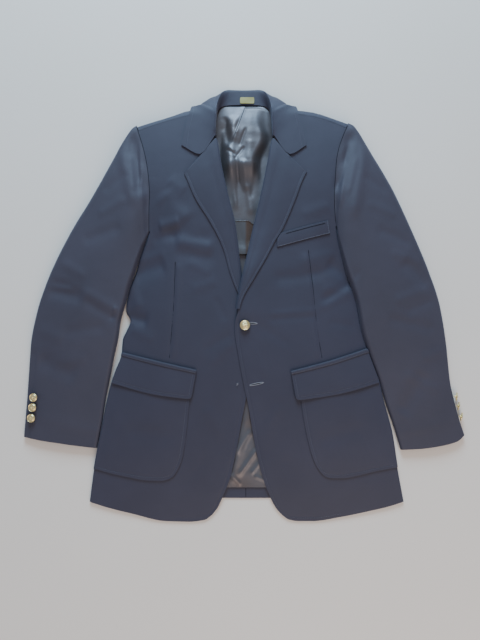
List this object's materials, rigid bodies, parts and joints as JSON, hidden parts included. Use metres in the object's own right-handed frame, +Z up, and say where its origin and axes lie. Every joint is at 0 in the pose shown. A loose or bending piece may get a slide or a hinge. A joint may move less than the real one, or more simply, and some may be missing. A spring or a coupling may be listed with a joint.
{
  "type": "sport coat",
  "caption": "Men's notch lapel sport coat laid flat on its back, buttoned, with patch pockets, breast welt and metal buttons.",
  "frame": {"origin": "middle of the laid-out coat's outline on the surface it lies on", "axes": "+Z up from the surface towards the fronts, +Y from the hem towards the collar, +X towards the wearer's left sleeve"},
  "size_m": [0.8027, 0.8199, 0.0358],
  "materials": {
    "navy_cloth": "matte worsted weave",
    "lining_cloth": "satin, taupe shot with blue",
    "patch_satin": "bright satin",
    "label_cloth": "plain gold weave",
    "button_metal": "polished"
  },
  "bodies": {
    "root": {"back_left": "navy_cloth", "back_right": "navy_cloth", "breast_welt": "navy_cloth", "collar": "navy_cloth", "cuff_button_left_1": "button_metal", "cuff_button_left_2": "button_metal", "cuff_button_left_3": "button_metal", "cuff_button_right_1": "button_metal", "cuff_button_right_2": "button_metal", "cuff_button_right_3": "button_metal", "flap_strip_left": "navy_cloth", "flap_strip_right": "navy_cloth", "front_button": "button_metal", "front_left": "navy_cloth", "front_right": "navy_cloth", "inside_patch": "patch_satin", "lapel_left": "navy_cloth", "lapel_right": "navy_cloth", "lining": "lining_cloth", "neck_label": "label_cloth", "patch_pocket_left": "navy_cloth", "patch_pocket_right": "navy_cloth", "pocket_flap_left": "navy_cloth", "pocket_flap_right": "navy_cloth", "side_left": "navy_cloth", "side_right": "navy_cloth", "under_sleeve_left": "navy_cloth", "under_sleeve_right": "navy_cloth", "upper_sleeve_left": "navy_cloth", "upper_sleeve_right": "navy_cloth"}
  },
  "joints": []
}
